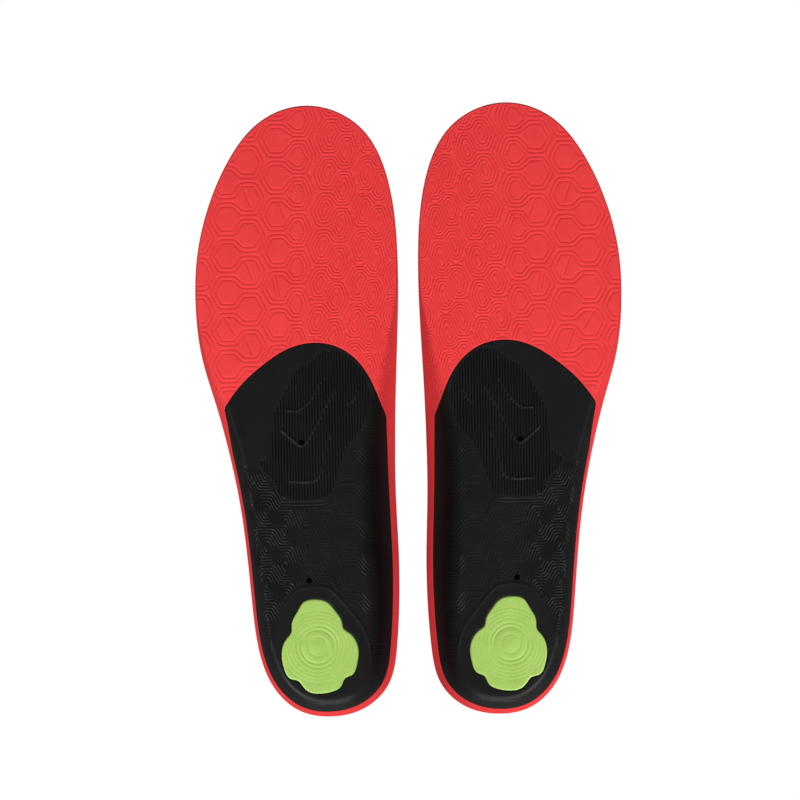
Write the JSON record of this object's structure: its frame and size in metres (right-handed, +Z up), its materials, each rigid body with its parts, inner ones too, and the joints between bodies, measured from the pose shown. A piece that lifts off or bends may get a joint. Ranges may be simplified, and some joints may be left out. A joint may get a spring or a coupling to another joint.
{
  "type": "cushioned insole pair",
  "caption": "Pair of cushioned shoe insoles with a moulded foam base, a hard arch and heel shell, a soft heel pad and a fabric top, bending at the ball of the foot.",
  "frame": {"origin": "midway between the two insoles and midway along them, on the surface that they lie on", "axes": "+Z up, sole down; +Y towards the toes; +X towards the right insole"},
  "size_m": [0.1948, 0.28, 0.0247],
  "materials": {
    "red_foam": "matt moulded foam with raised contour lines",
    "black_shell": "satin moulded plastic with fine relief",
    "green_gel": "satin soft gel",
    "grey_cushion": "matt open foam",
    "black_fabric": "fine knitted fabric"
  },
  "bodies": {
    "right_rearfoot": {"right_foam_base_rear": "red_foam", "right_arch_shell": "black_shell", "right_heel_pad": "green_gel", "right_cushion_layer_rear": "grey_cushion", "right_top_cover_rear": "black_fabric"},
    "right_forefoot": {"right_foam_base_front": "red_foam", "right_cushion_layer_front": "grey_cushion", "right_top_cover_front": "black_fabric"},
    "left_rearfoot": {"left_foam_base_rear": "red_foam", "left_arch_shell": "black_shell", "left_heel_pad": "green_gel", "left_cushion_layer_rear": "grey_cushion", "left_top_cover_rear": "black_fabric"},
    "left_forefoot": {"left_foam_base_front": "red_foam", "left_cushion_layer_front": "grey_cushion", "left_top_cover_front": "black_fabric"}
  },
  "joints": [
    {"name": "right_toe_flex", "type": "hinge", "parent": "right_rearfoot", "child": "right_forefoot", "pos_m": [0.05, 0.0586, 0.0058], "axis": [0.9954, -0.0955, 0], "range_deg": [0, 50], "stiffness_Nm_per_rad": 0.3},
    {"name": "left_insole_lift", "type": "slide", "parent": "right_rearfoot", "child": "left_rearfoot", "axis": [0, 0, 1], "range_m": [0, 0.08]},
    {"name": "left_toe_flex", "type": "hinge", "parent": "left_rearfoot", "child": "left_forefoot", "pos_m": [-0.05, 0.0586, 0.0058], "axis": [0.9954, 0.0955, 0], "range_deg": [0, 50], "stiffness_Nm_per_rad": 0.3}
  ]
}
